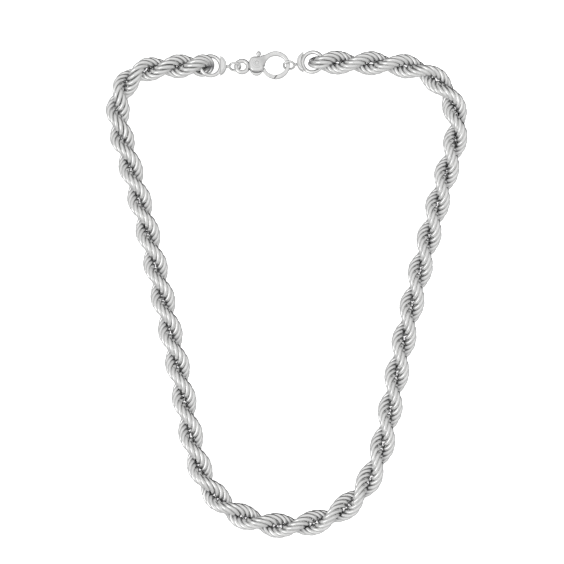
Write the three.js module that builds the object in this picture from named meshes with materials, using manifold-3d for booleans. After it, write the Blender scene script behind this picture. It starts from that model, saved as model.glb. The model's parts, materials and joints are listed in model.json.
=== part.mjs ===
// A twisted rope chain necklace with a lobster clasp, lying closed on a flat surface.
// Millimetres, +Z up, +Y towards the clasp. The origin is the centre of the bounding box at table level.
import * as THREE from "three";
import { mergeVertices } from "three/addons/utils/BufferGeometryUtils.js";
import Module from "manifold-3d";

const wasm = await Module();
wasm.setup();

// The rope: a flat strip of interlocked links, 8.2 mm across, that turns half round in each lobe.
const ROPE_HALF_WIDTH = 4.1;
const ROPE_HALF_THICKNESS = 2.45;
const ROPE_AXIS_Z = 4.1;
const SECTION_SIDES = 10;
const LENGTH_STEPS = 7;
const NECK_SETBACK = 0.35;
const NECK_END_SCALE = 0.6;
const NECK_END_SHARE = 0.01;
const AXIS_DIVISIONS = 4000;
const ROPE_RIGHT_START = 6.9;
const ROPE_END_Z = 3.4;
const END_LINK_REACH = 3.3;

// Lobe lengths along the axis, from the right end of the chain round to the left end.
const FIRST_HALF_LOBE = 3.65;
const LAST_HALF_LOBE = 4.05;
const STRETCHES = [
  { lobes: 1, pitch: 11.4 },
  { lobes: 3, pitch: 11.65 },
  { lobes: 2, pitch: 11.05 },
  { lobes: 3, pitch: 11.45 },
  { lobes: 10, pitch: 11.95 },
  { lobes: 3, pitch: 11.2 },
  { lobes: 2, pitch: 11.75 },
  { lobes: 7, pitch: 11.4 },
  { lobes: 5, pitch: 10.05 },
];
const RIGHT_FULL_LOBES = 18;

// The line that the closed chain lies along, clockwise from the right end band to the left one.
const ROUTE = [
  [2, 79.4, ROPE_END_Z],
  [8.5, 79.4, ROPE_END_Z],
  [12, 79.2, ROPE_AXIS_Z],
  [23, 79.2, ROPE_AXIS_Z],
  [35, 78.8, ROPE_AXIS_Z],
  [46, 76.5, ROPE_AXIS_Z],
  [54.5, 69, ROPE_AXIS_Z],
  [57.7, 58, ROPE_AXIS_Z],
  [52.3, 36, ROPE_AXIS_Z],
  [43.8, 4.5, ROPE_AXIS_Z],
  [37.8, -21, ROPE_AXIS_Z],
  [30, -55.5, ROPE_AXIS_Z],
  [23.9, -66.4, ROPE_AXIS_Z],
  [14.4, -73.7, ROPE_AXIS_Z],
  [2.7, -76.7, ROPE_AXIS_Z],
  [-9, -75.5, ROPE_AXIS_Z],
  [-19, -71, ROPE_AXIS_Z],
  [-26.5, -62.5, ROPE_AXIS_Z],
  [-30.5, -51.5, ROPE_AXIS_Z],
  [-35.1, -29, ROPE_AXIS_Z],
  [-40, -7, ROPE_AXIS_Z],
  [-48, 26.5, ROPE_AXIS_Z],
  [-54, 48, ROPE_AXIS_Z],
  [-56.8, 59, ROPE_AXIS_Z],
  [-56.3, 68.7, ROPE_AXIS_Z],
  [-51.2, 75.3, ROPE_AXIS_Z],
  [-42, 77.5, ROPE_AXIS_Z],
  [-30.9, 78.3, ROPE_AXIS_Z],
  [-27.5, 78.3, ROPE_END_Z],
  [-18, 78, ROPE_END_Z],
];

// End bands: a crescent of plate round the last link of each end.
const BAND_OUTER_RADIUS = 3.4;
const BAND_HALF_CHORD = 3.1;
const BAND_MID_THICKNESS = 1.9;
const BAND_LEAST_HOLLOW = 0.2;
const BAND_HEIGHT = 3.2;
const BAND_LUG = { from: -0.4, to: 0.5, halfWidth: 0.5 };
const RIGHT_BAND_FACE_X = 3.5;
const RIGHT_BAND_Y = 79.7;
const LEFT_BAND_FACE_X = -20.4;
const LEFT_BAND_Y = 78.4;

// Round rings: one soldered to each end band, tipped out of the table plane.
const RING_RADIUS = 1.85;
const RING_WIRE = 0.4;
const RING_TILT = THREE.MathUtils.degToRad(60);
const RIGHT_RING_X = 0.9;
const LEFT_RING_X = -17.55;

// The clasp, placed by the centre of its hoop.
const CLASP_X = -3.7;
const CLASP_Y = 78.95;
const CLASP_Z = 2.05;
const HOOP_OUTER_RADIUS = 4.9;
const HOOP_HOLE = [3.6, 3.25];
const HOOP_HALF_THICKNESS = 0.7;
const HEAD = { x: -6.45, y: 0.15, radius: 2.65 };
const HEAD_HALF_THICKNESS = 2.05;
const HEAD_MARGIN = 0.02;
const PIVOT = { x: -6.3, y: 0.5 };
const PIN_RADIUS = 0.6;
const PIN_HOLE_RADIUS = 0.72;
const PIN_HALF_LENGTH = 1.95;
const SHOULDER_HALF_THICKNESS = 1.75;
const SHOULDER_CREST = [-4.4, 2.9];
const SHOULDER_END = [-3.4, 3.53];
const SHOULDER_UNDERSIDE = [
  [-2.4, 2.4],
  [-3.6, 0.2],
];
const TAIL_RING = { x: -11.4, y: -0.45, radius: 1.75, wire: 0.68 };
const TAIL_NECK = { from: -9.6, to: -8.7, halfWidth: 0.7, halfThickness: 0.65 };
const LEVER_HALF_THICKNESS = 0.65;
const LEVER_GAP = 0.25;
const LEVER_HUB_RADIUS = 1.9;
const LEVER_BELLY = { x: -6.0, y: -1.4, radius: 2.15 };
const LEVER_TRAVEL = THREE.MathUtils.degToRad(22);
const SLOT_TURNS = 3;
const GATE_START = THREE.MathUtils.degToRad(196);
const GATE_SPACE_START = THREE.MathUtils.degToRad(170);
const GATE_SPACE_END = THREE.MathUtils.degToRad(295);
const GATE_INSET = 0.15;
// From the pivot to the gate's tip: both sides of the split are arcs about the pivot.
const GATE_REACH = 7.6;
const KNOB = { x: -5.8, y: 4.1, radius: 0.85 };
const STEM_HALF_WIDTH = 0.5;
const STEM_HALF_THICKNESS = 0.55;
const SPRING_INNER_RADIUS = 0.8;
const SPRING_OUTER_RADIUS = 1.25;
const SPRING_Z = [0.75, 1.05];
const SLOT_Z = [-0.9, 1.2];

// Half the depth of a cut that goes right through the clasp, and how close two vertices are merged.
const THROUGH = 3;
const WELD = 1e-4;

// Facets round each kind of curve.
const SIDES = { pin: 16, disc: 24, head: 32, hoop: 24, shoulder: 6, band: 10, wire: 8, knob: 12 };
const SIDES_OF_GATE_ARC = 96;
const WEDGE_STEPS = 4;
const WEDGE_REACH = 8;

const silver = { color: 0xe4e3df, roughness: 0.18, metalness: 1 };
const castSilver = { color: 0xd9d8d4, roughness: 0.28, metalness: 1 };
const springSteel = { color: 0x8f9094, roughness: 0.35, metalness: 1 };

const necklace = new THREE.Group();

function addMesh(group, name, geometry, look) {
  const mesh = new THREE.Mesh(geometry, new THREE.MeshStandardMaterial(look));
  mesh.name = name;
  group.add(mesh);
  return mesh;
}

function solidOf(geometry) {
  const bare = geometry.index ? geometry.toNonIndexed() : geometry.clone();
  bare.deleteAttribute("normal");
  bare.deleteAttribute("uv");
  const merged = mergeVertices(bare, WELD);
  return new wasm.Manifold(
    new wasm.Mesh({
      numProp: 3,
      vertProperties: merged.attributes.position.array,
      triVerts: new Uint32Array(merged.index.array),
    }),
  );
}

function geometryOf(solid) {
  const mesh = solid.getMesh();
  const positions = new Float32Array(mesh.numVert * 3);
  for (let i = 0; i < mesh.numVert; i++) {
    const start = i * mesh.numProp;
    positions.set(mesh.vertProperties.subarray(start, start + 3), i * 3);
  }
  return new THREE.BufferGeometry()
    .setAttribute("position", new THREE.BufferAttribute(positions, 3))
    .setIndex(new THREE.BufferAttribute(mesh.triVerts, 1));
}

function joined(geometries) {
  return geometries.map(solidOf).reduce((all, next) => all.add(next));
}

// A shape drawn in the XY plane, given thickness from z = low to z = high.
function slab(shape, low, high, curveSegments) {
  const options = { depth: high - low, bevelEnabled: false, curveSegments };
  return new THREE.ExtrudeGeometry(shape, options).translate(0, 0, low);
}

function disc(x, y, radius, low, high, sides = SIDES.disc) {
  return new THREE.CylinderGeometry(radius, radius, high - low, sides)
    .rotateX(Math.PI / 2)
    .translate(x, y, (low + high) / 2);
}

function block(from, to, low, high) {
  return new THREE.BoxGeometry(to[0] - from[0], to[1] - from[1], high - low).translate(
    (from[0] + to[0]) / 2,
    (from[1] + to[1]) / 2,
    (low + high) / 2,
  );
}

// --- the rope ---

const ropeAxis = new THREE.CatmullRomCurve3(
  ROUTE.map((point) => new THREE.Vector3(...point)),
  false,
  "centripetal",
);
ropeAxis.arcLengthDivisions = AXIS_DIVISIONS;
const ropeAxisLength = ropeAxis.getLength();

// Distances along the axis of the necks between lobes, from the right end to the left.
function neckDistances() {
  let at = ROPE_RIGHT_START + FIRST_HALF_LOBE;
  const necks = [at];
  for (const { lobes, pitch } of STRETCHES) {
    for (let i = 0; i < lobes; i++) {
      at += pitch;
      necks.push(at);
    }
  }
  return necks;
}

// The point, direction, sideways and upward directions of the rope at a distance along it.
function frameAt(distance) {
  const u = distance / ropeAxisLength;
  const along = ropeAxis.getTangentAt(u);
  const side = new THREE.Vector3(-along.y, along.x, 0).normalize();
  const up = new THREE.Vector3().crossVectors(along, side);
  return { at: ropeAxis.getPointAt(u), side, up };
}

// One lobe: an elliptical bar along the axis, turned left-handed by turn(t) and narrowed by scale(t).
function ropeLobe(from, to, turn, scale) {
  const bar = new THREE.CylinderGeometry(1, 1, 1, SECTION_SIDES, LENGTH_STEPS);
  const position = bar.getAttribute("position");
  for (let i = 0; i < position.count; i++) {
    const t = position.getY(i) + 0.5;
    const { at, side, up } = frameAt(from + t * (to - from));
    const wide = position.getX(i) * ROPE_HALF_WIDTH * scale(t);
    const thick = -position.getZ(i) * ROPE_HALF_THICKNESS * scale(t);
    const angle = turn(t);
    at.addScaledVector(side, wide * Math.cos(angle) - thick * Math.sin(angle));
    at.addScaledVector(up, wide * Math.sin(angle) + thick * Math.cos(angle));
    position.setXYZ(i, at.x, at.y, at.z);
  }
  return bar;
}

const narrowAtBothEnds = (t) => (Math.min(t, 1 - t) < NECK_END_SHARE ? NECK_END_SCALE : 1);

function fullLobe(from, to) {
  const turn = (t) => Math.PI * (0.5 - t);
  return ropeLobe(from + NECK_SETBACK, to - NECK_SETBACK, turn, narrowAtBothEnds);
}

// The end lobes turn a quarter from the neck and then lie flat under the end band.
function endLobe(neck, centre, outwards) {
  const outer = centre + outwards * END_LINK_REACH;
  const inner = neck + outwards * NECK_SETBACK;
  const flatShare = END_LINK_REACH / Math.abs(outer - neck);
  const quarter = (t) => (Math.PI / 2) * Math.max(0, 1 - t / (1 - flatShare));
  return outwards > 0
    ? ropeLobe(inner, outer, quarter, narrowAtBothEnds)
    : ropeLobe(outer, inner, (t) => -quarter(1 - t), narrowAtBothEnds);
}

const necks = neckDistances();
const twoDigits = (number) => String(number).padStart(2, "0");
for (let i = 0; i + 1 < necks.length; i++) {
  const fromBottom = i - RIGHT_FULL_LOBES;
  const name =
    fromBottom === 0
      ? "rope_bottom"
      : fromBottom < 0
        ? "rope_right_" + twoDigits(-fromBottom)
        : "rope_left_" + twoDigits(fromBottom);
  addMesh(necklace, name, fullLobe(necks[i], necks[i + 1]), silver);
}
const lastNeck = necks[necks.length - 1];
const rightEnd = endLobe(necks[0], ROPE_RIGHT_START, -1);
const leftEnd = endLobe(lastNeck, lastNeck + LAST_HALF_LOBE, 1);
addMesh(necklace, "rope_right_19", rightEnd, silver);
addMesh(necklace, "rope_left_18", leftEnd, silver);

// --- end bands and their rings ---

// A crescent whose bulge points along +X, with a small lug on it for the ring.
function endBand() {
  const tip = Math.asin(BAND_HALF_CHORD / BAND_OUTER_RADIUS);
  const sagitta = BAND_OUTER_RADIUS * (1 - Math.cos(tip));
  const hollow = Math.max(sagitta - BAND_MID_THICKNESS, BAND_LEAST_HOLLOW);
  const innerRadius = (BAND_HALF_CHORD ** 2 + hollow ** 2) / (2 * hollow);
  const innerTip = Math.asin(BAND_HALF_CHORD / innerRadius);
  const crescent = new THREE.Shape();
  crescent.absarc(-BAND_OUTER_RADIUS, 0, BAND_OUTER_RADIUS, -tip, tip, false);
  crescent.absarc(-sagitta + hollow - innerRadius, 0, innerRadius, innerTip, -innerTip, true);
  const half = BAND_HEIGHT / 2;
  const plate = slab(crescent, -half, half, SIDES.band);
  const { from, to, halfWidth } = BAND_LUG;
  const lug = block([from, -halfWidth], [to, halfWidth], -half, 0);
  return geometryOf(joined([plate, lug]));
}

function wireRing() {
  return new THREE.TorusGeometry(RING_RADIUS, RING_WIRE, SIDES.wire, SIDES.disc);
}

const leftBand = addMesh(necklace, "left_end_band", endBand(), silver);
leftBand.position.set(LEFT_BAND_FACE_X, LEFT_BAND_Y, ROPE_END_Z);
const rightBand = addMesh(necklace, "right_end_band", endBand(), silver);
rightBand.position.set(RIGHT_BAND_FACE_X, RIGHT_BAND_Y, ROPE_END_Z);
rightBand.rotation.z = Math.PI;

const leftRing = addMesh(necklace, "left_end_ring", wireRing(), silver);
leftRing.position.set(LEFT_RING_X, CLASP_Y + TAIL_RING.y, CLASP_Z);
leftRing.rotation.x = RING_TILT;
const catchRing = addMesh(necklace, "catch_ring", wireRing(), silver);
catchRing.position.set(RIGHT_RING_X, CLASP_Y, CLASP_Z);
catchRing.rotation.x = RING_TILT;

// --- the clasp ---

const clasp = new THREE.Group();
clasp.position.set(CLASP_X, CLASP_Y, CLASP_Z);
necklace.add(clasp);

function ellipse(x, y, radiusX, radiusY) {
  return new THREE.Shape().absellipse(x, y, radiusX, radiusY, 0, 2 * Math.PI, false, 0);
}

// The part of the hoop between two angles about its centre, as a wedge wider than the hoop.
function hoopWedge(start, end) {
  const wedge = new THREE.Shape();
  wedge.moveTo(0, 0);
  for (let i = 0; i <= WEDGE_STEPS; i++) {
    const angle = start + ((end - start) * i) / WEDGE_STEPS;
    wedge.lineTo(WEDGE_REACH * Math.cos(angle), WEDGE_REACH * Math.sin(angle));
  }
  return slab(wedge, -THROUGH, THROUGH, 1);
}

// The part of the hoop's side that opens, out to a distance from the pivot.
function gateSpace(start, reach) {
  const swing = disc(PIVOT.x, PIVOT.y, reach, -THROUGH, THROUGH, SIDES_OF_GATE_ARC);
  return solidOf(hoopWedge(start, GATE_SPACE_END)).intersect(solidOf(swing));
}

// The ring of metal between the hoop's round outside and its oval hole.
function hoopRing(halfThickness, inset) {
  const outer = HOOP_OUTER_RADIUS - inset;
  const ring = ellipse(0, 0, outer, outer);
  ring.holes.push(ellipse(0, 0, HOOP_HOLE[0] + inset, HOOP_HOLE[1] + inset));
  return slab(ring, -halfThickness, halfThickness, SIDES.hoop);
}

// The space that the lever sweeps in the head, from closed to open.
function leverSlot() {
  const [low, high] = SLOT_Z;
  const belly = new THREE.Vector2(LEVER_BELLY.x - PIVOT.x, LEVER_BELLY.y - PIVOT.y);
  const pieces = [disc(PIVOT.x, PIVOT.y, LEVER_HUB_RADIUS + LEVER_GAP, low, high)];
  for (let i = 0; i <= SLOT_TURNS; i++) {
    const angle = (LEVER_TRAVEL * i) / SLOT_TURNS;
    const turned = belly.clone().rotateAround(new THREE.Vector2(), angle);
    const [x, y] = [PIVOT.x + turned.x, PIVOT.y + turned.y];
    pieces.push(disc(x, y, LEVER_BELLY.radius + LEVER_GAP, low, high));
  }
  const stemTop = KNOB.y + KNOB.radius;
  const stemSwing = (stemTop - PIVOT.y) * Math.sin(LEVER_TRAVEL);
  const left = KNOB.x - STEM_HALF_WIDTH - stemSwing;
  const right = KNOB.x + STEM_HALF_WIDTH + LEVER_GAP;
  pieces.push(block([left, PIVOT.y], [right, stemTop], low, high));
  return joined(pieces);
}

function pinHole() {
  return solidOf(disc(PIVOT.x, PIVOT.y, PIN_HOLE_RADIUS, -THROUGH, THROUGH, SIDES.pin));
}

function claspBody() {
  const half = HEAD_HALF_THICKNESS;
  const shoulder = new THREE.Shape();
  shoulder.moveTo(HEAD.x, HEAD.y + HEAD.radius);
  shoulder.quadraticCurveTo(...SHOULDER_CREST, ...SHOULDER_END);
  SHOULDER_UNDERSIDE.forEach((point) => shoulder.lineTo(...point));
  shoulder.lineTo(HEAD.x, HEAD.y);
  const tail = new THREE.TorusGeometry(TAIL_RING.radius, TAIL_RING.wire, SIDES.band, SIDES.disc);
  tail.translate(TAIL_RING.x, TAIL_RING.y, 0);
  const { from, to, halfWidth, halfThickness } = TAIL_NECK;
  const neckFrom = [from, TAIL_RING.y - halfWidth];
  const neckTo = [to, TAIL_RING.y + halfWidth];
  const whole = joined([
    hoopRing(HOOP_HALF_THICKNESS, 0),
    disc(HEAD.x, HEAD.y, HEAD.radius, -half, half, SIDES.head),
    slab(shoulder, -SHOULDER_HALF_THICKNESS, SHOULDER_HALF_THICKNESS, SIDES.shoulder),
    tail,
    block(neckFrom, neckTo, -halfThickness, halfThickness),
  ]);
  const inside = slab(ellipse(0, 0, ...HOOP_HOLE), -THROUGH, THROUGH, SIDES.hoop);
  const keptRadius = HEAD.radius - HEAD_MARGIN;
  const headKept = disc(HEAD.x, HEAD.y, keptRadius, -THROUGH, THROUGH, SIDES.head);
  return whole
    .subtract(solidOf(inside))
    .subtract(gateSpace(GATE_SPACE_START, GATE_REACH + LEVER_GAP).subtract(solidOf(headKept)))
    .subtract(leverSlot())
    .subtract(pinHole());
}

// The lever: hub on the pin, belly below, the gate that closes the hoop, and the thumb knob on its stem.
function claspLever() {
  const half = LEVER_HALF_THICKNESS;
  const gate = solidOf(hoopRing(half, GATE_INSET)).intersect(gateSpace(GATE_START, GATE_REACH));
  const knob = new THREE.SphereGeometry(KNOB.radius, SIDES.knob, SIDES.wire).translate(KNOB.x, KNOB.y, 0);
  const stemFrom = [KNOB.x - STEM_HALF_WIDTH, PIVOT.y];
  const stemTo = [KNOB.x + STEM_HALF_WIDTH, KNOB.y];
  return joined([
    disc(PIVOT.x, PIVOT.y, LEVER_HUB_RADIUS, -half, half),
    disc(LEVER_BELLY.x, LEVER_BELLY.y, LEVER_BELLY.radius, -half, half),
    block(stemFrom, stemTo, -STEM_HALF_THICKNESS, STEM_HALF_THICKNESS),
    knob,
  ])
    .add(gate)
    .subtract(pinHole());
}

function claspSpring() {
  const [low, high] = SPRING_Z;
  const profile = [
    [SPRING_INNER_RADIUS, low],
    [SPRING_OUTER_RADIUS, low],
    [SPRING_OUTER_RADIUS, high],
    [SPRING_INNER_RADIUS, high],
    [SPRING_INNER_RADIUS, low],
  ].map(([x, y]) => new THREE.Vector2(x, y));
  return new THREE.LatheGeometry(profile, SIDES.pin).rotateX(Math.PI / 2);
}

addMesh(clasp, "clasp_body", geometryOf(claspBody()), castSilver);
addMesh(clasp, "clasp_lever", geometryOf(claspLever()), castSilver);
addMesh(
  clasp,
  "clasp_pin",
  disc(PIVOT.x, PIVOT.y, PIN_RADIUS, -PIN_HALF_LENGTH, PIN_HALF_LENGTH, SIDES.pin),
  castSilver,
);
const spring = addMesh(clasp, "clasp_spring", claspSpring(), springSteel);
spring.position.set(PIVOT.x, PIVOT.y, 0);

// The bounding box stands on z = 0 with its middle over the origin.
necklace.updateMatrixWorld(true);
const bounds = new THREE.Box3().setFromObject(necklace, true);
const middle = bounds.getCenter(new THREE.Vector3());
necklace.position.set(-middle.x, -middle.y, -bounds.min.z);

export default necklace;
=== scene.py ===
# The looks of a twisted rope chain necklace with a lobster clasp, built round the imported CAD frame.
# Metres, in the CAD frame: +Z up off the table, +Y towards the clasp, origin at the middle of the box.
import json
import math

import bpy
import numpy as np
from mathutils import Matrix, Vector


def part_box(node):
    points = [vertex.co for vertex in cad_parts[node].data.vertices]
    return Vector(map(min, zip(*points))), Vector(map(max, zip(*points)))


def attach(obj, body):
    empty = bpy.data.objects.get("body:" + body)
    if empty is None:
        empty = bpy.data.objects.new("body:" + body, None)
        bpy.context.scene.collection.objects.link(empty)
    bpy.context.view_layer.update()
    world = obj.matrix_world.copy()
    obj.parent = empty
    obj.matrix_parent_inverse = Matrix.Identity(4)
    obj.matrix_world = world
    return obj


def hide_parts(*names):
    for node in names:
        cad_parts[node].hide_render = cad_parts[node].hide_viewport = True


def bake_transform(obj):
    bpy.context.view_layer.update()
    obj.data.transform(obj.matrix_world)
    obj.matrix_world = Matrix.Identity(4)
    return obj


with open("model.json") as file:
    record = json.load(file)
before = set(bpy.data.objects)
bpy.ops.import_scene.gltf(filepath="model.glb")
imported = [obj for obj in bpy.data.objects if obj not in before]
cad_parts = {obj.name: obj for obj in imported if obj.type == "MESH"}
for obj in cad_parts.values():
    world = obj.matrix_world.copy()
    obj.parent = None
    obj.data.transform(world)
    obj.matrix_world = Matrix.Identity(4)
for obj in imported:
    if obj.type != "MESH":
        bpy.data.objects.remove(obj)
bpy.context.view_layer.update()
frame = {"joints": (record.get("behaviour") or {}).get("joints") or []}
scene = bpy.context.scene
MM = 0.001

# --- sizes in millimetres ---

# rope
LINK_RADIUS = 3.45  # to the middle of the wire
WIRE_RADIUS = 0.66
LINK_SPACING = 1.425  # from one link to the next, along the rope
LINK_GAP = 0.345  # half the opening of a link, in radians about its centre
END_SPACING = 1.25  # between the links of a half lobe at an end
END_CROWDING = 0.68  # pushes those links towards the neck and leaves a gap inside the closed end link
END_LEAST = 3  # fewest links in a half lobe at an end, counting the closed one
END_TWIST = 1.5  # how much of a half lobe's turn is done near its neck
LINK_WOBBLE = 0.03  # how far a link's radius and opening stray from the mean
WOBBLE_RATES = (12.9898, 4.1)  # radians for each millimetre and each link, so that neighbours differ
PAINTED_SHADE_REACH = 2.4  # from the rope's axis to where the painted shade in its groove fades out
WIRE_STEPS = 48
WIRE_SIDES = 16
DOME = [(0.3, 0.95), (0.55, 0.8), (0.72, 0.5)]  # a wire end: steps out and widths left, in wire radii
END_LINK_SET = 5.4  # from the outer face of an end band to the centre of the end link in it
BENDS = 18  # joints along each arm of the loop
LAST_BEND_SHORT = 1.0  # taken off a distance along the axis past the last neck, for a point that is read and not used
PATH_STEPS = 40  # samples of the rope's axis between two of its given points

# small rings
RING_WIRE = 0.40
RING_TILT = math.radians(60)
RING_SIDES = 16
RING_STEPS = 72
SEAM_ANGLE = 1.2  # where a ring is soldered
SEAM_WIDTH = 0.12
SEAM_SWELL = 0.05

# end bands
BAND_OUTER = 3.5
BAND_HALF_CHORD = 3.3
BAND_HALF_HEIGHT = 1.6
BAND_EDGE = 0.45
BAND_LINE_INSET = 0.55  # the fine line along each face of a band
BAND_LINE_LIFT = 0.02  # from the face up to the middle of the groove that makes the line
BAND_SEAT = 3.86  # radius of the right band's seat for the end link
BAND_BACK = {"left": -2.15, "right": -2.35}  # how far back each band reaches from its outer face
LUG_LENGTH = 0.5
SOLDER_ROOT = 0.9
SOLDER_REACH = 0.95
SOLDER_RADIUS = 0.46
BAND_ROOM = 0.3  # left for the skin past a band
BAND_ROOM_AHEAD = 0.8  # and past the tip of its lug
BAND_ROOM_BELOW = 0.5

# clasp, with places measured from the hoop's centre
HOOP_OUTER = 4.9
HOOP_HOLE = (3.6, 3.25)
HOOP_HALF = 0.7
HOOP_EDGE = 0.42
HOOP_HOLE_EDGE = 0.12
PIVOT = (-6.3, 0.5)
HEAD = (-6.45, 0.15)
HEAD_RADIUS = 2.65
HEAD_HALF_WIDTH = 2.5
HEAD_CORNER = 1.8  # its outline is a square with round corners
HEAD_HALF = 2.05
HEAD_EDGE = 0.75
THROUGH = HEAD_HALF + 1  # cuts go this far up and down
TAIL = (-11.4, -0.45)
TAIL_RADIUS = 2.0
TAIL_WIRE = 0.75
TAIL_NECK = (-9.9, -8.4)  # the bar between the tail ring and the head
TAIL_NECK_HALF = 0.55
TAIL_NECK_EDGE = 0.3
SHOULDER_END = (-2.55, 3.25)
SHOULDER_END_RADIUS = 0.72
SHOULDER_TRIM = -3  # right of this the shoulder stays inside the hoop's outer edge
LEVER_HALF = 0.65
HUB_RADIUS = 1.9
BELLY = (-6.5, -1.45)
BELLY_RADIUS = 2.15
BELLY_EDGE = 0.3
BELLY_FILLET = 0.1
LEVER_GAP = 0.25
LEVER_TRAVEL = math.radians(22)
LEVER_EDGE = 0.2
GATE_START = math.radians(196)
GATE_END = math.radians(295)
GATE_SPACE_START = math.radians(170)
GATE_INSET = 0.15
GATE_REACH = 7.6
GATE_TIP = 7.76  # the gate reaches almost to the hook's tip
KNOB = (-5.8, 4.1)
KNOB_RADIUS = 0.85
KNOB_FILLET = 0.15
STEM_HALF = 0.5
STEM_HALF_THICKNESS = 0.55
SLOT_MIDDLE = 0.15
SLOT_HALF = 1.05
SLOT_TURNS = 4  # steps of the lever's travel that the slot leaves room for
PIN_RADIUS = 0.6
PIN_HALF = 1.95
PIN_GAP = 0.02
PIN_GAP_EDGE = 0.1
PIN_HOLE = 0.72  # in the lever
PIN_HOLE_EDGE = 0.05
PIN_DOME = [(0.30, 0.05), (0.48, 0.02), (0.56, -0.03), (PIN_RADIUS, -0.12)]  # radii and heights
HEAD_RINGS = (1.15, 1.75)  # radii of the faint turned lines round the pin
HEAD_RING_LIFT = 0.04  # from the face up to the middle of the grooves that make them
GROOVE_RADIUS = 0.1
GROOVE_WIDTH = 0.08  # how soft the edges of grooves and slots are
FILLET = 0.35
SMALL_FILLET = 0.3
SPRING_RADIUS = 1.02
SPRING_WIRE = 0.1
SPRING_LOW = 0.86
SPRING_RISE = 0.09
SPRING_START = 200  # degrees
SPRING_SIDES = 8
SPRING_STEPS = 72

# skins
SKIN_STEP = 0.1
HOLLOW_REACH = 0.4  # how far out a point looks for what shuts it in
HOLLOW_SHARPNESS = 1.1
SLOPE_STEP = 0.01
LEAST_SLOPE = 0.1  # a flatter slope counts as this one
SETTLE_ROUNDS = 3
SETTLE_STEP = 0.05  # of the skin's step, for the slope
SETTLE_SHARE = 0.9  # of the way to the surface in each round
SETTLE_LEAST = 0.25  # least square of the slope
BODY_BOX = ((-14.5, -5.2, -2.4), (5.2, 5.2, 2.4))  # room for the skins, from the hoop's centre
LEVER_BOX = ((-9.0, -5.1, -1.1), (1.4, 5.3, 1.1))


# --- materials ---

NOISE_RANGE = (0.3, 0.7)  # noise seldom leaves this range
FILM_SCALE = 450.0
POLISH_SCALE = 1100.0
SCRATCH_SCALE = 2800.0
SCRATCH_DEPTH = 0.00001


class Nodes:
    """A material's node tree, with short ways to add and link nodes."""

    def __init__(self, name):
        self.material = bpy.data.materials.new(name)
        self.material.use_nodes = True
        self.tree = self.material.node_tree
        self.shader = self.tree.nodes["Principled BSDF"]

    def add(self, kind, **settings):
        node = self.tree.nodes.new(kind)
        for key, value in settings.items():
            setattr(node, key, value)
        return node

    def link(self, source, target):
        self.tree.links.new(source, target)

    def noise(self, scale, detail=3.0, roughness=0.5, stretch=(1.0, 1.0, 1.0)):
        coordinates = self.add("ShaderNodeTexCoord")
        mapping = self.add("ShaderNodeMapping")
        mapping.inputs["Scale"].default_value = stretch
        texture = self.add("ShaderNodeTexNoise")
        texture.inputs["Scale"].default_value = scale
        texture.inputs["Detail"].default_value = detail
        texture.inputs["Roughness"].default_value = roughness
        self.link(coordinates.outputs["Object"], mapping.inputs["Vector"])
        self.link(mapping.outputs["Vector"], texture.inputs["Vector"])
        return texture.outputs["Fac"]

    def ramp(self, source, low, high):
        ramp = self.add("ShaderNodeValToRGB")
        for element, position, colour in zip(ramp.color_ramp.elements, NOISE_RANGE, (low, high)):
            element.position = position
            element.color = (*colour, 1)
        self.link(source, ramp.inputs["Fac"])
        return ramp.outputs["Color"]

    def span(self, source, low, high):
        spread = self.add("ShaderNodeMapRange")
        spread.inputs["From Min"].default_value = NOISE_RANGE[0]
        spread.inputs["From Max"].default_value = NOISE_RANGE[1]
        spread.inputs["To Min"].default_value = low
        spread.inputs["To Max"].default_value = high
        self.link(source, spread.inputs["Value"])
        return spread.outputs["Result"]

    def darken(self, colour, attribute, shade):
        # painted shade: mixes the colour towards shade by a point attribute
        depth = self.add("ShaderNodeAttribute", attribute_name=attribute)
        mix = self.add("ShaderNodeMix", data_type="RGBA")
        mix.inputs["B"].default_value = (*shade, 1)
        self.link(depth.outputs["Fac"], mix.inputs["Factor"])
        self.link(colour, mix.inputs["A"])
        return mix.outputs["Result"]

    def bump(self, source, strength, distance):
        bump = self.add("ShaderNodeBump")
        bump.inputs["Strength"].default_value = strength
        bump.inputs["Distance"].default_value = distance
        self.link(source, bump.inputs["Height"])
        self.link(bump.outputs["Normal"], self.shader.inputs["Normal"])


def metal(name, low, high, roughness, scratches, stretch=(1.0, 1.0, 1.0), shade=None):
    """Metal with a faint uneven film, patches of softer polish, fine scratches, and, if shade is given,
    painted shade mixed in by a point attribute.
    """
    nodes = Nodes(name)
    nodes.shader.inputs["Metallic"].default_value = 1.0
    colour = nodes.ramp(nodes.noise(FILM_SCALE, 4.0), low, high)
    # painted shade in hollows, creases and gaps
    if shade:
        colour = nodes.darken(colour, "recess", shade)
    nodes.link(colour, nodes.shader.inputs["Base Color"])
    nodes.link(nodes.span(nodes.noise(POLISH_SCALE, 5.0), *roughness), nodes.shader.inputs["Roughness"])
    nodes.bump(nodes.noise(SCRATCH_SCALE, 5.0, 0.6, stretch), scratches, SCRATCH_DEPTH)
    return nodes.material


# the shade colours below are painted shade in hollows, creases and gaps
WIRE_SILVER = metal(
    "wire_silver", (0.86, 0.86, 0.855), (0.95, 0.95, 0.945), (0.08, 0.18), 0.3, shade=(0.24, 0.24, 0.25)
)
BAND_SILVER = metal(
    "band_silver", (0.85, 0.85, 0.845), (0.94, 0.94, 0.935), (0.12, 0.22), 0.4, shade=(0.2, 0.2, 0.21)
)
CAST_SILVER = metal(
    "cast_silver",
    (0.82, 0.82, 0.815),
    (0.92, 0.92, 0.915),
    (0.15, 0.27),
    0.5,
    stretch=(1.0, 0.3, 1.0),
    shade=(0.16, 0.16, 0.17),
)
SPRING_STEEL = metal("spring_steel", (0.34, 0.34, 0.35), (0.5, 0.5, 0.52), (0.25, 0.4), 0.3)


# --- mesh helpers ---


def new_piece(name, mesh, material):
    for polygon in mesh.polygons:
        polygon.use_smooth = True
    piece = bpy.data.objects.new(name, mesh)
    scene.collection.objects.link(piece)
    mesh.materials.append(material)
    return piece


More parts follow.
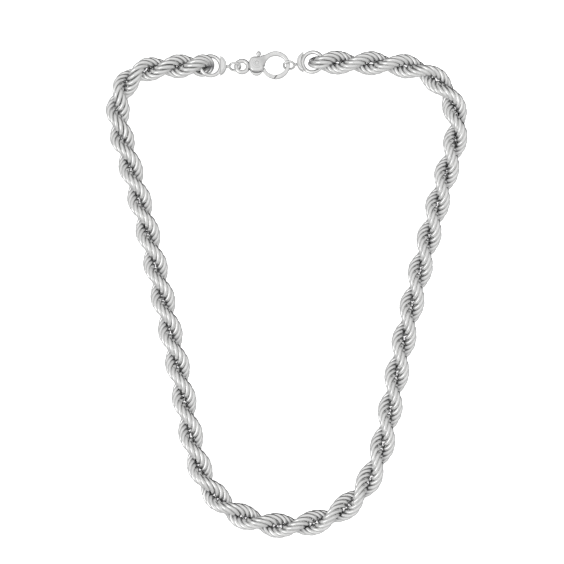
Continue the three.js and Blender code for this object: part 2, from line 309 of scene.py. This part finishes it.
class Tubes:
    """Any number of round wires in one mesh. Points are in millimetres."""

    def __init__(self):
        self.points, self.faces, self.recess = [], [], []

    def add(self, path, across, radius, closed=False, sides=WIRE_SIDES, recess=None):
        """A wire along path, with two directions across it and, if given, a share of painted shade at each
        point.
        """
        path, across, recess = list(path), list(across), list(recess or [0.0] * len(path))
        radii = [radius] * len(path)
        if not closed:
            path, across, radii, recess = rounded_ends(path, across, radius, recess)
        start = len(self.points)
        for at, (one, two), size, share in zip(path, across, radii, recess):
            for i in range(sides):
                angle = 2 * math.pi * i / sides
                self.points.append(at + (one * math.cos(angle) + two * math.sin(angle)) * size)
                self.recess.append(share)
        rows = len(path)
        for row in range(rows if closed else rows - 1):
            here, there = start + row * sides, start + ((row + 1) % rows) * sides
            for i in range(sides):
                j = (i + 1) % sides
                self.faces.append((here + i, here + j, there + j, there + i))
        if not closed:
            last = start + (rows - 1) * sides
            self.faces.append(tuple(start + i for i in reversed(range(sides))))
            self.faces.append(tuple(last + i for i in range(sides)))

    def mesh(self, name):
        mesh = bpy.data.meshes.new(name)
        mesh.from_pydata([point * MM for point in self.points], [], self.faces)
        # share of painted shade at each point, read by the material
        attribute = mesh.attributes.new("recess", "FLOAT", "POINT")
        attribute.data.foreach_set("value", self.recess)
        return mesh


def rounded_ends(path, across, radius, recess):
    """The path with each end carried on in three steps that close the wire to a dome."""
    first = (path[0] - path[1]).normalized()
    last = (path[-1] - path[-2]).normalized()
    head = [(path[0] + first * radius * out, across[0], radius * wide, recess[0]) for out, wide in DOME]
    tail = [(path[-1] + last * radius * out, across[-1], radius * wide, recess[-1]) for out, wide in DOME]
    middle = [(at, sides, radius, share) for at, sides, share in zip(path, across, recess)]
    return zip(*head[::-1], *middle, *tail)


def skin(field, low, high, step=SKIN_STEP):
    """The surface where field(x, y, z) is 0: quads on a regular grid, with each vertex set on the surface."""
    axes = [np.arange(a, b + step, step) for a, b in zip(low, high)]
    values = field(*np.meshgrid(*axes, indexing="ij"))
    inside = values < 0
    cells = tuple(n - 1 for n in values.shape)
    total, count = np.zeros((*cells, 3)), np.zeros(cells)

    def corner(array, offset):
        return array[tuple(slice(o, o + n) for o, n in zip(offset, cells))]

    for axis in range(3):
        for u in (0, 1):
            for v in (0, 1):
                near = np.zeros(3, int)
                near[(axis + 1) % 3], near[(axis + 2) % 3] = u, v
                far = near.copy()
                far[axis] = 1
                a, b = corner(values, near), corner(values, far)
                crossed = (a < 0) != (b < 0)
                share = np.where(crossed, a / np.where(crossed, a - b, 1), 0)
                total += np.where(crossed[..., None], near + share[..., None] * (far - near), 0)
                count += crossed
    used = count > 0
    index = np.full(cells, -1)
    index[used] = np.arange(used.sum())
    points = (np.argwhere(used) + total[used] / count[used][:, None]) * step + np.array(low)
    faces = []
    for axis in range(3):
        ahead = np.moveaxis(inside, axis, 0)
        crossed = np.argwhere(ahead[:-1, 1:-1, 1:-1] != ahead[1:, 1:-1, 1:-1]) + (0, 1, 1)
        others = [i for i in range(3) if i != axis]
        edges = np.zeros_like(crossed)
        edges[:, axis], edges[:, others[0]], edges[:, others[1]] = crossed.T
        u, v = np.zeros(3, int), np.zeros(3, int)
        u[(axis + 1) % 3], v[(axis + 2) % 3] = 1, 1
        quads = np.stack([index[tuple((edges - o).T)] for o in (u + v, v, 0 * u, u)], axis=1)
        solid = inside[tuple(edges.T)]
        faces.append(np.where(solid[:, None], quads, quads[:, ::-1]))
    for _ in range(SETTLE_ROUNDS):
        points = settle(field, points, step)
    return points, np.concatenate(faces)


def slope_of(field, points, small):
    """The field's slope at each point, from values a small way to both sides."""
    ends = [(field(*(points + small * e).T), field(*(points - small * e).T)) for e in np.eye(3)]
    return np.stack([(a - b) / (2 * small) for a, b in ends], axis=1)


def settle(field, points, step):
    """Moves each point along the field's slope towards where the field is 0."""
    slope = slope_of(field, points, step * SETTLE_STEP)
    size = np.maximum((slope**2).sum(axis=1), SETTLE_LEAST)
    move = np.clip(field(*points.T) / size, -step / 2, step / 2)
    return points - SETTLE_SHARE * move[:, None] * slope


def hollow_share(field, near, points):
    """How shut in each point is by what lies a short way out from it: 0 in the open, 1 in a tight gap. It
    sets the share of painted shade.
    """
    slope = slope_of(field, points, SLOPE_STEP)
    outward = slope / np.maximum(np.linalg.norm(slope, axis=1), LEAST_SLOPE)[:, None]
    x, y, z = (points + outward * HOLLOW_REACH).T
    room = np.minimum(field(x, y, z), near(x, y, z)) / HOLLOW_REACH
    return np.clip(1 - HOLLOW_SHARPNESS * room, 0, 1)


def skinned(name, field, near, low, high, place, material, slot, turned=False):
    """A piece with the skin of a field, with painted shade in its hollows and where a near one shuts it in.
    """
    points, faces = skin(field, low, high)
    # painted shade where the point is shut in
    recess = hollow_share(field, near, points)
    if turned:
        points = points * (-1, -1, 1)
    mesh = bpy.data.meshes.new(name)
    mesh.from_pydata((points * MM + np.array(place)).tolist(), [], faces.tolist())
    mesh.attributes.new("recess", "FLOAT", "POINT").data.foreach_set("value", recess)
    return new_piece(name, mesh, material)


# --- distances to flat shapes, and their thickening ---


def circle(x, y, centre, radius):
    return np.hypot(x - centre[0], y - centre[1]) - radius


def oval(x, y, half):
    """Distance from an ellipse's edge, near enough, by its half axes."""
    far = np.hypot(x / half[0], y / half[1])
    slope = np.maximum(np.hypot(x / half[0] ** 2, y / half[1] ** 2), 1e-6)
    return far * (far - 1) / slope


def box(x, y, low, high):
    across = np.abs(x - (low[0] + high[0]) / 2) - (high[0] - low[0]) / 2
    along = np.abs(y - (low[1] + high[1]) / 2) - (high[1] - low[1]) / 2
    return np.maximum(across, along)


def past(x, y, angle):
    """Distance past a ray from the origin, counter-clockwise."""
    return -x * math.sin(angle) + y * math.cos(angle)


def thick(flat, z, half, edge):
    """A flat shape thickened to both sides of z = 0, with rounded edges."""
    across, up = flat + edge, np.abs(z) - half + edge
    outside = np.hypot(np.maximum(across, 0), np.maximum(up, 0))
    return np.minimum(np.maximum(across, up), 0) + outside - edge


def melt(a, b, width):
    """The union of two shapes with a fillet between them."""
    share = np.clip(0.5 + 0.5 * (b - a) / width, 0, 1)
    return b + (a - b) * share - width * share * (1 - share)


def carve(a, b, width):
    """The first shape without the second, with a softened edge."""
    return -melt(-a, b, width)


# --- the rope's axis, through the joints ---


def joint_at(name):
    return next(Vector(j["pos_m"]) for j in frame["joints"] if j["name"] == name) / MM


def node_box(node):
    low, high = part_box(node)
    return Vector(low) / MM, Vector(high) / MM


def rope_stations():
    """The rope's given points from the right end to the left: end link, necks, end link."""
    _, right_high = node_box("rope_right_19")
    next_low, _ = node_box("rope_right_18")
    right_band, left_band = node_box("right_end_band"), node_box("left_end_band")
    right_necks = [joint_at(f"drape_{k:02d}_right") for k in range(BENDS, 0, -1)]
    left_necks = [joint_at(f"drape_{k:02d}_left") for k in range(1, BENDS + 1)]
    right_y, left_y = ((b[0].y + b[1].y) / 2 for b in (right_band, left_band))
    right_z, left_z = ((b[0].z + b[1].z) / 2 for b in (right_band, left_band))
    first = right_necks[0]
    neck = Vector(((right_high.x + next_low.x) / 2, (right_y + first.y) / 2, first.z))
    right_end = Vector((right_band[0].x + LUG_LENGTH + END_LINK_SET, right_y, right_z))
    left_end = Vector((left_band[1].x - LUG_LENGTH - END_LINK_SET, left_y, left_z))
    return [right_end, neck, *right_necks, *left_necks, left_end]


class Axis:
    """A smooth curve through given points, read by distance along it."""

    def __init__(self, stations):
        given = [2 * stations[0] - stations[1], *stations, 2 * stations[-1] - stations[-2]]
        self.points, self.distances, self.stops = [stations[0]], [0.0], [0.0]
        for i in range(1, len(given) - 2):
            for step in range(1, PATH_STEPS + 1):
                point = self.between(given[i - 1 : i + 3], step / PATH_STEPS)
                self.distances.append(self.distances[-1] + (point - self.points[-1]).length)
                self.points.append(point)
            self.stops.append(self.distances[-1])

    @staticmethod
    def between(four, share):
        """Centripetal Catmull-Rom between the middle two of four points."""
        knots = [0.0]
        for a, b in zip(four, four[1:]):
            knots.append(knots[-1] + math.sqrt((b - a).length))
        x = knots[1] + (knots[2] - knots[1]) * share

        def mix(a, b, low, high):
            return a * ((knots[high] - x) / (knots[high] - knots[low])) + b * (
                (x - knots[low]) / (knots[high] - knots[low])
            )

        a, b, c = (mix(four[i], four[i + 1], i, i + 1) for i in range(3))
        return mix(mix(a, b, 0, 2), mix(b, c, 1, 3), 1, 2)

    def at(self, distance):
        """The point, direction, sideways and upward directions at a distance."""
        i = int(np.clip(np.searchsorted(self.distances, distance) - 1, 0, len(self.points) - 2))
        a, b = self.points[i], self.points[i + 1]
        share = (distance - self.distances[i]) / (self.distances[i + 1] - self.distances[i])
        along = (self.points[min(i + 2, len(self.points) - 1)] - self.points[max(i - 1, 0)]).normalized()
        side = Vector((-along.y, along.x, 0)).normalized()
        return a.lerp(b, share), along, side, along.cross(side)


axis = Axis(rope_stations())
necks = axis.stops[1:-1]


def add_link(wires, distance, turn, opening, wobble):
    """One ring whose plane holds the rope's axis. opening is 1 or -1 along the rope, or 0 if closed."""
    centre, along, side, up = axis.at(distance)
    out = side * math.cos(turn) + up * math.sin(turn)
    closed = opening == 0
    back = -along * (opening or -1)
    plane = back.cross(out)
    radius = LINK_RADIUS + LINK_WOBBLE * wobble
    gap = 0 if closed else LINK_GAP + LINK_WOBBLE * wobble
    path, across, recess = [], [], []
    for i in range(WIRE_STEPS + (not closed)):
        angle = gap + 2 * (math.pi - gap) * i / WIRE_STEPS
        spoke = out * math.sin(angle) - back * math.cos(angle)
        path.append(centre + spoke * radius)
        across.append((spoke, plane))
        # painted shade: darkest where the wire nears the rope's axis, in its groove
        recess.append(0.0 if closed else max(0.0, 1 - abs(math.sin(angle)) * radius / PAINTED_SHADE_REACH))
    wires.add(path, across, WIRE_RADIUS, closed=closed, recess=recess)


def lobe_links(start, end):
    """Distance, turn and opening of each link in one full lobe. Each is open towards the lobe's middle."""
    number = round((end - start) / LINK_SPACING)
    for k in range(number):
        t = (k + 0.5) / number
        yield start + t * (end - start), math.pi * (0.5 - t), 1 if t < 0.5 else -1


def end_links(neck, centre):
    """Distance, turn and opening of each link from a neck to an end link, which lies flat and is closed."""
    quarter = math.copysign(math.pi / 2, neck - centre)
    number = max(END_LEAST, round(abs(centre - neck) / END_SPACING))
    for k in range(number - 1):
        t = END_CROWDING * (k + 0.5) / number
        yield neck + t * (centre - neck), -quarter * (1 - t) ** END_TWIST, -1
    yield centre, 0.0, 0


def rope_piece(name, links):
    """One piece of rope from its links, each a little different in size."""
    wires = Tubes()
    for number, (distance, turn, opening) in enumerate(links):
        wobble = math.sin(WOBBLE_RATES[0] * distance + WOBBLE_RATES[1] * number)
        add_link(wires, distance, turn, opening, wobble)
    return new_piece(name, wires.mesh(name), WIRE_SILVER)


def lobe_name(i):
    """The body and the CAD node of the lobe between neck i and neck i + 1."""
    k = i - BENDS
    if k == 0:
        return "bottom", "rope_bottom"
    arm = "right" if k < 0 else "left"
    return f"{arm}_{abs(k):02d}", f"rope_{arm}_{abs(k):02d}"


lobes = list(zip(necks, necks[1:]))
middles = [(a + b) / 2 for a, b in lobes]
links = [list(lobe_links(a, b)) for a, b in lobes]

first_end = rope_piece(
    "rope_end_right",
    [*end_links(necks[0], 0.0), *(link for link in links[0] if link[0] < middles[0])],
)
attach(first_end, lobe_name(0)[0])
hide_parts("rope_right_19")

for i in range(1, len(lobes)):
    before, after = lobe_name(i - 1), lobe_name(i)
    around = [link for link in links[i - 1] if link[0] >= middles[i - 1]]
    around += [link for link in links[i] if link[0] < middles[i]]
    piece = rope_piece(f"rope_neck_{i:02d}", around)
    start, end = axis.at(middles[i - 1])[0] * MM, axis.at(middles[i])[0] * MM
    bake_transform(piece)
    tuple(start)
    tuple(end)
    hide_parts(before[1])

last_end = rope_piece(
    "rope_end_left",
    [*(link for link in links[-1] if link[0] >= middles[-1]), *end_links(necks[-1], axis.stops[-1])],
)
last_middle = axis.at(middles[-1])[0] * MM
axis.at(2 * necks[-1] - middles[-1] - LAST_BEND_SHORT)[0] * MM
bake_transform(last_end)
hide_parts(lobe_name(len(lobes) - 1)[1], f"rope_left_{BENDS:02d}")


# --- end bands ---


def end_band(side):
    """A crescent of plate round an end link, its bulge towards the clasp, with a lug for the ring."""
    node = f"{side}_end_band"
    low, high = node_box(node)
    turned = side == "right"
    face = low.x + LUG_LENGTH if turned else high.x - LUG_LENGTH
    place = Vector((face, (low.y + high.y) / 2, (low.z + high.z) / 2))
    ring_low, ring_high = node_box("catch_ring" if turned else "left_end_ring")
    ring_z = (ring_low.z + ring_high.z) / 2 - place.z
    ring_y = (ring_low.y + ring_high.y) / 2 - place.y
    ring_y = -ring_y if turned else ring_y
    back = BAND_BACK[side]

    def field(x, y, z):
        crescent = np.maximum(circle(x, y, (-BAND_OUTER, 0), BAND_OUTER), np.abs(y) - BAND_HALF_CHORD)
        if turned:
            crescent = np.maximum(crescent, -circle(x, y, (-END_LINK_SET, 0), BAND_SEAT))
        band = thick(np.maximum(crescent, back - x), z, BAND_HALF_HEIGHT, BAND_EDGE)
        from_line = circle(x, y, (-BAND_OUTER, 0), BAND_OUTER - BAND_LINE_INSET)
        line = np.hypot(from_line, np.abs(z) - BAND_HALF_HEIGHT - BAND_LINE_LIFT) - GROOVE_RADIUS
        band = carve(band, line, GROOVE_WIDTH)
        length = SOLDER_ROOT + SOLDER_REACH
        share = np.clip((x + SOLDER_ROOT) / length, 0, 1)
        off = (x + SOLDER_ROOT - share * length, y - ring_y * share, z - ring_z)
        lug = np.sqrt(off[0] ** 2 + off[1] ** 2 + off[2] ** 2) - SOLDER_RADIUS
        return melt(band, lug, SMALL_FILLET)

    low_corner = (back - BAND_ROOM, -BAND_HALF_CHORD - BAND_ROOM, -BAND_HALF_HEIGHT - BAND_ROOM_BELOW)
    high_corner = (SOLDER_REACH + BAND_ROOM_AHEAD, BAND_HALF_CHORD + BAND_ROOM, BAND_HALF_HEIGHT + BAND_ROOM)
    piece = skinned(
        f"band_{side}",
        field,
        field,
        low_corner,
        high_corner,
        place * MM,
        BAND_SILVER,
        "polished_silver",
        turned,
    )
    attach(piece, f"{side}_{BENDS:02d}")
    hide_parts(node)


end_band("left")
end_band("right")


# --- rings ---


def wire_ring(name, node, body):
    """A closed round ring in the tilted plane of its CAD ring, with a soldered seam where its ends meet."""
    low, high = node_box(node)
    centre = (low + high) / 2
    radius = (high.x - low.x) / 2 - RING_WIRE
    tipped = Vector((0, math.cos(RING_TILT), math.sin(RING_TILT)))
    across_plane = Vector((1, 0, 0)).cross(tipped)
    wires = Tubes()
    path, across = [], []
    for i in range(RING_STEPS):
        angle = 2 * math.pi * i / RING_STEPS
        spoke = Vector((1, 0, 0)) * math.cos(angle) + tipped * math.sin(angle)
        path.append(centre + spoke * radius)
        from_seam = math.remainder(angle - SEAM_ANGLE, 2 * math.pi) / SEAM_WIDTH
        seam = 1 + SEAM_SWELL * math.exp(-(from_seam**2))
        across.append((spoke * seam, across_plane * seam))
    wires.add(path, across, RING_WIRE, closed=True, sides=RING_SIDES)
    piece = new_piece(name, wires.mesh(name), BAND_SILVER)
    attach(piece, body)
    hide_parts(node)


wire_ring("ring_left", "left_end_ring", f"left_{BENDS:02d}")
wire_ring("ring_catch", "catch_ring", f"right_{BENDS:02d}")


# --- the clasp: shapes are in millimetres from the hoop's centre ---

hoop_centre = joint_at("lever_press") - Vector((*PIVOT, 0))


def gate_space(x, y, start, reach):
    """The side of the hoop that opens, out to an arc about the pivot."""
    between = np.maximum(-past(x, y, start), past(x, y, GATE_END))
    return np.maximum(between, circle(x, y, PIVOT, reach))


def hoop_shape(x, y, z):
    """The fixed hook: a flat ring with an oval hole, cut away where the gate goes."""
    open_side = gate_space(x, y, GATE_SPACE_START, GATE_REACH + LEVER_GAP)
    ring = np.maximum(circle(x, y, (0, 0), HOOP_OUTER), -oval(x, y, HOOP_HOLE))
    return thick(np.maximum(ring, -open_side), z, HOOP_HALF, HOOP_EDGE)


def head_shape(x, y, z):
    """The head, and the shoulder that grows narrower and thinner from it to the hoop."""
    run = np.array(SHOULDER_END) - np.array(HEAD)
    share = np.clip(((x - HEAD[0]) * run[0] + (y - HEAD[1]) * run[1]) / (run @ run), 0, 1)
    shoulder = np.hypot(x - HEAD[0] - share * run[0], y - HEAD[1] - share * run[1])
    shoulder = shoulder - (HEAD_RADIUS - share * (HEAD_RADIUS - SHOULDER_END_RADIUS))
    off_x = np.maximum(np.abs(x - HEAD[0]) - HEAD_HALF_WIDTH + HEAD_CORNER, 0)
    off_y = np.maximum(np.abs(y - HEAD[1]) - HEAD_RADIUS + HEAD_CORNER, 0)
    outline = melt(shoulder, np.hypot(off_x, off_y) - HEAD_CORNER, SMALL_FILLET)
    ease = share * share * (3 - 2 * share)
    half = HEAD_HALF - ease * (HEAD_HALF - HOOP_HALF)
    return thick(outline, z, half, HEAD_EDGE - ease * (HEAD_EDGE - HOOP_EDGE))


def tail_shape(x, y, z):
    """The tail ring, and the bar that joins it to the head."""
    ring = np.hypot(np.hypot(x - TAIL[0], y - TAIL[1]) - TAIL_RADIUS, z) - TAIL_WIRE
    low, high = (TAIL_NECK[0], TAIL[1] - TAIL_NECK_HALF), (TAIL_NECK[1], TAIL[1] + TAIL_NECK_HALF)
    bar = thick(box(x, y, low, high), z, TAIL_NECK_HALF, TAIL_NECK_EDGE)
    return melt(ring, bar, FILLET)


def lever_slot(x, y, z):
    """The room in the head for the lever, all through its travel."""
    slot = circle(x, y, PIVOT, HUB_RADIUS + LEVER_GAP)
    dx, dy = BELLY[0] - PIVOT[0], BELLY[1] - PIVOT[1]
    for step in range(SLOT_TURNS + 1):
        turn = LEVER_TRAVEL * step / SLOT_TURNS
        at = (
            PIVOT[0] + dx * math.cos(turn) - dy * math.sin(turn),
            PIVOT[1] + dx * math.sin(turn) + dy * math.cos(turn),
        )
        slot = np.minimum(slot, circle(x, y, at, BELLY_RADIUS + LEVER_GAP))
    swing = (KNOB[1] + KNOB_RADIUS - PIVOT[1]) * math.sin(LEVER_TRAVEL)
    stem_low = (KNOB[0] - STEM_HALF - swing, PIVOT[1])
    stem_high = (KNOB[0] + STEM_HALF + LEVER_GAP, KNOB[1] + KNOB_RADIUS)
    slot = np.minimum(slot, box(x, y, stem_low, stem_high))
    return np.maximum(slot, np.abs(z - SLOT_MIDDLE) - SLOT_HALF)


def clasp_body(x, y, z):
    """The clasp's casting: hook, head and tail ring."""
    whole = melt(hoop_shape(x, y, z), head_shape(x, y, z), FILLET)
    trimmed = np.maximum(whole, circle(x, y, (0, 0), HOOP_OUTER))
    whole = np.where(x > SHOULDER_TRIM, trimmed, whole)
    whole = carve(whole, np.maximum(oval(x, y, HOOP_HOLE), np.abs(z) - THROUGH), HOOP_HOLE_EDGE)
    whole = melt(whole, tail_shape(x, y, z), SMALL_FILLET)
    whole = carve(whole, lever_slot(x, y, z), GROOVE_WIDTH)
    pin = np.maximum(circle(x, y, PIVOT, PIN_RADIUS + PIN_GAP), np.abs(z) - THROUGH)
    whole = carve(whole, pin, PIN_GAP_EDGE)
    from_pivot = np.hypot(x - PIVOT[0], y - PIVOT[1])
    for radius in HEAD_RINGS:
        groove = np.hypot(from_pivot - radius, np.abs(z) - HEAD_HALF - HEAD_RING_LIFT) - GROOVE_RADIUS
        whole = carve(whole, groove, GROOVE_WIDTH)
    return whole


def clasp_lever(x, y, z):
    """The lever: a hub on the pin, the belly below it, the gate, and the thumb knob on its stem."""
    hub = thick(circle(x, y, PIVOT, HUB_RADIUS), z, LEVER_HALF, LEVER_EDGE)
    belly = thick(circle(x, y, BELLY, BELLY_RADIUS), z, LEVER_HALF, BELLY_EDGE)
    hole = oval(x, y, (HOOP_HOLE[0] + GATE_INSET, HOOP_HOLE[1] + GATE_INSET))
    ring = np.maximum(circle(x, y, (0, 0), HOOP_OUTER - GATE_INSET), -hole)
    gate = thick(np.maximum(ring, gate_space(x, y, GATE_START, GATE_TIP)), z, LEVER_HALF, LEVER_EDGE)
    stem_low, stem_high = (KNOB[0] - STEM_HALF, PIVOT[1]), (KNOB[0] + STEM_HALF, KNOB[1])
    stem = thick(box(x, y, stem_low, stem_high), z, STEM_HALF_THICKNESS, LEVER_EDGE)
    knob = np.sqrt((x - KNOB[0]) ** 2 + (y - KNOB[1]) ** 2 + z**2) - KNOB_RADIUS
    whole = melt(melt(hub, belly, BELLY_FILLET), gate, FILLET)
    whole = melt(np.minimum(whole, stem), knob, KNOB_FILLET)
    return carve(whole, np.maximum(circle(x, y, PIVOT, PIN_HOLE), np.abs(z) - THROUGH), PIN_HOLE_EDGE)


def clasp_skins():
    """The casting and the lever, each with painted shade where the other shuts it in."""
    place = hoop_centre * MM
    body = skinned("hook_and_head", clasp_body, clasp_lever, *BODY_BOX, place, CAST_SILVER, "cast_silver")
    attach(body, "clasp")
    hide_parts("clasp_body")
    lever = skinned("lever", clasp_lever, clasp_body, *LEVER_BOX, place, CAST_SILVER, "cast_silver")
    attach(lever, "lever")
    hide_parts("clasp_lever")



def lathe(name, profile, place, material, sides=48):
    """A round piece about Z through place, from (radius, height) pairs in millimetres."""
    points = [
        (radius * math.cos(2 * math.pi * i / sides), radius * math.sin(2 * math.pi * i / sides), height)
        for radius, height in profile
        for i in range(sides)
    ]
    faces = []
    for row in range(len(profile) - 1):
        here, there = row * sides, (row + 1) * sides
        for i in range(sides):
            j = (i + 1) % sides
            faces.append((here + i, here + j, there + j, there + i))
    faces.append(tuple(reversed(range(sides))))
    faces.append(tuple((len(profile) - 1) * sides + i for i in range(sides)))
    mesh = bpy.data.meshes.new(name)
    mesh.from_pydata([tuple(p * MM + o * MM for p, o in zip(point, place)) for point in points], [], faces)
    return new_piece(name, mesh, material)


def rivet():
    """The lever's pin, with a low dome at each end."""
    low = [(radius, -PIN_HALF - height) for radius, height in PIN_DOME]
    high = [(radius, PIN_HALF + height) for radius, height in reversed(PIN_DOME)]
    pin = lathe("rivet_pin", low + high, joint_at("lever_press"), CAST_SILVER)
    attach(pin, "clasp")
    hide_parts("clasp_pin")


def coiled_spring():
    """One turn of fine wire round the pin, just above the lever's hub."""
    coil = Tubes()
    path, across = [], []
    for i in range(SPRING_STEPS + 1):
        angle = math.radians(SPRING_START + 360 * i / SPRING_STEPS)
        spoke = Vector((math.cos(angle), math.sin(angle), 0))
        rise = SPRING_LOW + SPRING_RISE * i / SPRING_STEPS
        path.append(joint_at("lever_press") + spoke * SPRING_RADIUS + Vector((0, 0, rise)))
        across.append((spoke, Vector((0, 0, 1))))
    coil.add(path, across, SPRING_WIRE, sides=SPRING_SIDES)
    spring = new_piece("lever_spring", coil.mesh("lever_spring"), SPRING_STEEL)
    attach(spring, "clasp")
    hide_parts("clasp_spring")


clasp_skins()
rivet()
coiled_spring()


# --- studio ---

FLOOR_HALF = 1.5
FLOOR_ROWS = 24
FLOOR_ROUGHNESS = 0.9
PAPER_SCALE = 60.0
FLOOR_GLOW = 0.8  # the table is lit a little from below, so that its surface shows no hard shadow


def pale_floor():
    """A plain pale table that the metal doesn't mirror."""
    rows = FLOOR_ROWS
    mesh = bpy.data.meshes.new("floor")
    marks = [FLOOR_HALF * (2 * i / rows - 1) for i in range(rows + 1)]
    points = [(x, y, 0.0) for y in marks for x in marks]
    faces = [
        (r * (rows + 1) + c, r * (rows + 1) + c + 1, (r + 1) * (rows + 1) + c + 1, (r + 1) * (rows + 1) + c)
        for r in range(rows)
        for c in range(rows)
    ]
    mesh.from_pydata(points, [], faces)
    floor = bpy.data.objects.new("floor", mesh)
    scene.collection.objects.link(floor)
    nodes = Nodes("floor_paper")
    nodes.link(
        nodes.ramp(nodes.noise(PAPER_SCALE, 4.0), (0.90, 0.90, 0.90), (0.93, 0.93, 0.93)),
        nodes.shader.inputs["Base Color"],
    )
    nodes.shader.inputs["Roughness"].default_value = FLOOR_ROUGHNESS
    nodes.shader.inputs["Emission Color"].default_value = (1, 1, 1, 1)
    nodes.shader.inputs["Emission Strength"].default_value = FLOOR_GLOW
    mesh.materials.append(nodes.material)
    floor.visible_glossy = False


pale_floor()

CAMERA_DISTANCE = 0.6
CAMERA_TILT = math.radians(8)
CAMERA_TARGET = Vector((-0.00154, 0.00241, 0.0041))
CAMERA_FOV = math.radians(17.85)


def place_camera():
    """Looks down on the table, tipped a little towards the clasp."""
    data = bpy.data.cameras.new("camera")
    data.angle = CAMERA_FOV
    data.clip_start, data.clip_end = 0.01, 10
    camera = bpy.data.objects.new("camera", data)
    scene.collection.objects.link(camera)
    back = Vector((0, -math.sin(CAMERA_TILT), math.cos(CAMERA_TILT)))
    camera.location = CAMERA_TARGET + back * CAMERA_DISTANCE
    camera.rotation_euler = (-back).to_track_quat("-Z", "Y").to_euler()
    scene.camera = camera


place_camera()


def soft_box(name, at, size, power, seen=True, aim=(0.0, 0.0, 0.0)):
    """A large square lamp. One that isn't seen lights the floor and leaves no mirror image in the metal."""
    data = bpy.data.lights.new(name, "AREA")
    data.shape = "RECTANGLE"
    data.size, data.size_y = size
    data.energy = power
    light = bpy.data.objects.new(name, data)
    scene.collection.objects.link(light)
    light.location = at
    light.rotation_euler = (Vector(aim) - Vector(at)).to_track_quat("-Z", "Y").to_euler()
    light.visible_glossy = seen


soft_box("softbox_overhead", (0.0, 0.0, 1.2), (1.6, 1.6), 9.0, seen=False)
soft_box("softbox_left", (-0.75, -0.45, 0.75), (0.7, 0.9), 1.45)

# The room: pale overhead, greyer lower down, and nearly black low behind the clasp and to the right.
ROOM_BY_HEIGHT = [(0.0, 0.56), (0.3, 0.62), (1.0, 0.84)]  # steps of height and grey
ROOM_DARK_SIDE = (0.22, 0.72, -0.35)
ROOM_BY_SIDE = [(0.0, 1.0), (0.52, 0.86), (0.70, 0.03)]  # steps towards the dark side and share of light left


def room_ramp(tree, source, stops):
    """Greys of the room by a value, from (position, grey) stops."""
    ramp = tree.nodes.new("ShaderNodeValToRGB")
    elements = ramp.color_ramp.elements
    while len(elements) < len(stops):
        elements.new(0.5)
    for element, (position, grey) in zip(elements, stops):
        element.position = position
        element.color = (grey, grey, grey, 1)
    tree.links.new(source, ramp.inputs["Fac"])
    return ramp.outputs["Color"]


def studio_room():
    """The room that the metal mirrors: its grey by height, made darker towards one side."""
    world = bpy.data.worlds.new("studio")
    scene.world = world
    world.use_nodes = True
    tree = world.node_tree
    background = tree.nodes["Background"]
    direction = tree.nodes.new("ShaderNodeTexCoord").outputs["Generated"]
    split = tree.nodes.new("ShaderNodeSeparateXYZ")
    tree.links.new(direction, split.inputs["Vector"])
    facing = tree.nodes.new("ShaderNodeVectorMath")
    facing.operation = "DOT_PRODUCT"
    facing.inputs[1].default_value = ROOM_DARK_SIDE
    tree.links.new(direction, facing.inputs[0])
    both = tree.nodes.new("ShaderNodeMix")
    both.data_type = "RGBA"
    both.blend_type = "MULTIPLY"
    both.inputs["Factor"].default_value = 1.0
    tree.links.new(room_ramp(tree, split.outputs["Z"], ROOM_BY_HEIGHT), both.inputs["A"])
    tree.links.new(room_ramp(tree, facing.outputs["Value"], ROOM_BY_SIDE), both.inputs["B"])
    tree.links.new(both.outputs["Result"], background.inputs["Color"])
    background.inputs["Strength"].default_value = 1.0


studio_room()
scene.view_settings.view_transform = "Standard"

bpy.context.view_layer.update()
